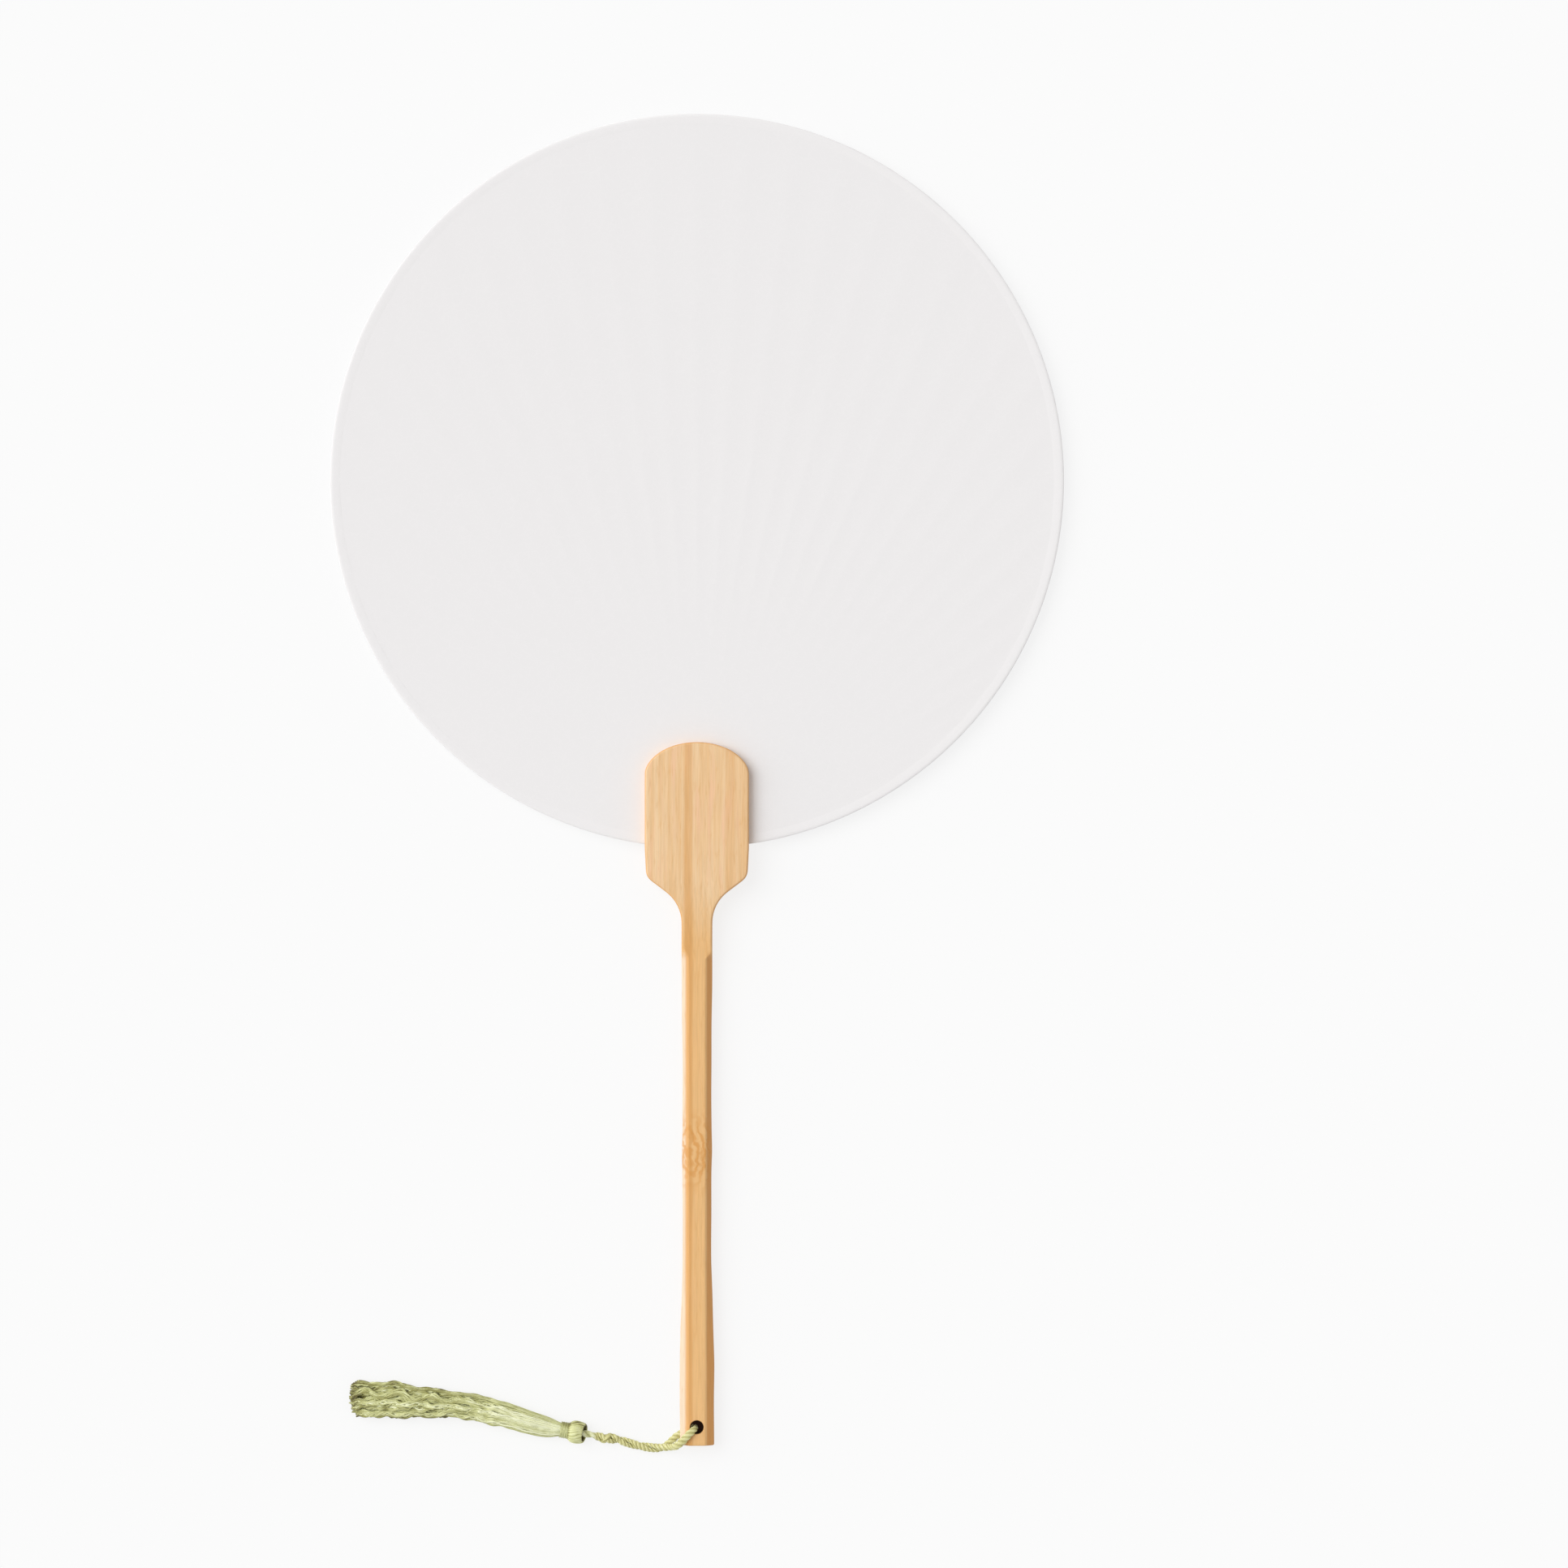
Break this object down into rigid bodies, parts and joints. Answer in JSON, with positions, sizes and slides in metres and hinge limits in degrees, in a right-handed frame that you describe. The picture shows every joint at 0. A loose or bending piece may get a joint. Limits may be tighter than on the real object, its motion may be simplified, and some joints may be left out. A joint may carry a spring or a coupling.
{
  "type": "round uchiwa fan",
  "caption": "Round uchiwa hand fan: plain paper leaf on bamboo ribs, glued into a slotted paddle handle, with a corded tassel that swings at the handle's end.",
  "frame": {"origin": "centre of the fan's own box without its cord and tassel: in the middle of the leaf's thickness, on the handle's centre line, halfway between the leaf's top and the handle's butt", "axes": "the fan lies on its back; +Y along the handle towards the leaf's top, +Z out of the front face, +X to the right seen from the front; the tassel lies towards -X"},
  "size_m": [0.226, 0.4127, 0.008],
  "materials": {
    "handle": "sanded, clear matt lacquer",
    "ribs": "raw split bamboo",
    "leaf_paper": "matt, unprinted",
    "edging": "matt, folded",
    "cord": "twisted silky yarn",
    "tassel_yarn": "loose silky yarn"
  },
  "bodies": {
    "fan": {"handle": "handle", "front_paper": "leaf_paper", "rear_paper": "leaf_paper", "rim_edging": "edging", "rib_01": "ribs", "rib_02": "ribs", "rib_03": "ribs", "rib_04": "ribs", "rib_05": "ribs", "rib_06": "ribs", "rib_07": "ribs", "rib_08": "ribs", "rib_09": "ribs", "rib_10": "ribs", "rib_11": "ribs", "rib_12": "ribs", "rib_13": "ribs", "rib_14": "ribs", "rib_15": "ribs", "rib_16": "ribs", "rib_17": "ribs", "rib_18": "ribs", "rib_19": "ribs", "rib_20": "ribs", "rib_21": "ribs", "rib_22": "ribs", "rib_23": "ribs", "rib_24": "ribs", "rib_25": "ribs", "rib_26": "ribs", "rib_27": "ribs", "rib_28": "ribs", "rib_29": "ribs", "rib_30": "ribs", "rib_31": "ribs", "rib_32": "ribs", "rib_33": "ribs", "rib_34": "ribs", "rib_35": "ribs", "rib_36": "ribs", "rib_37": "ribs", "rib_38": "ribs", "rib_39": "ribs"},
    "cord": {"cord_loop": "cord", "cord_pair": "cord", "cord_knot": "cord"},
    "tassel": {"neck_cord": "cord", "tassel_head": "tassel_yarn", "neck_wrap": "cord", "tassel_skirt": "tassel_yarn"}
  },
  "joints": [
    {"name": "tassel_swing", "type": "hinge", "parent": "fan", "child": "cord", "pos_m": [0, -0.19925, 0], "axis": [0, 0, 1], "range_deg": [-70, 180]},
    {"name": "tassel_lift", "type": "hinge", "parent": "cord", "child": "tassel", "pos_m": [-0.0332, -0.20195, -0.0017], "axis": [0.1736, 0.9848, 0], "range_deg": [0, 75]}
  ]
}
